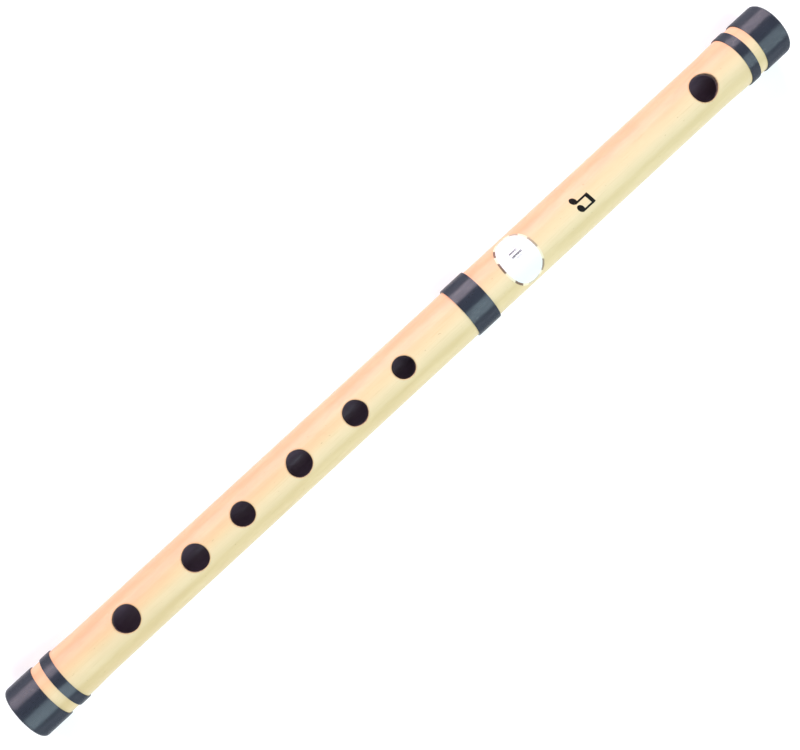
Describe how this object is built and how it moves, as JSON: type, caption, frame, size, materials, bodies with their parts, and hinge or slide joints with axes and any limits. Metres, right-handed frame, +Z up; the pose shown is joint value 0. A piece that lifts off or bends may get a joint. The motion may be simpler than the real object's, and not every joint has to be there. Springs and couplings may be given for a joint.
{
  "type": "bamboo flute",
  "caption": "Side-blown bamboo flute: a pale bamboo tube with burnt finger holes and a blow hole, black lacquered thread bindings, a paper label and a sliding cork stopper.",
  "frame": {"origin": "on the surface the flute lies on, under the middle of its length, directly below the tube's axis", "axes": "+X runs along the tube from the foot to the head (blow-hole) end; +Z is up, the way the holes face; +Y completes the right-handed set"},
  "size_m": [0.2956, 0.0176, 0.0176],
  "materials": {
    "bamboo": "satin",
    "binding_thread": "gloss",
    "cork": "matte",
    "label_paper": "satin"
  },
  "bodies": {
    "flute": {"bamboo_tube": "bamboo", "foot_end_binding": "binding_thread", "foot_inner_binding": "binding_thread", "middle_binding": "binding_thread", "head_inner_binding": "binding_thread", "head_end_binding": "binding_thread", "paper_label": "label_paper"},
    "cork": {"cork_stopper": "cork"}
  },
  "joints": [
    {"name": "cork_slide", "type": "slide", "parent": "flute", "child": "cork", "axis": [1, 0, 0], "range_m": [-0.003, 0.004]}
  ]
}
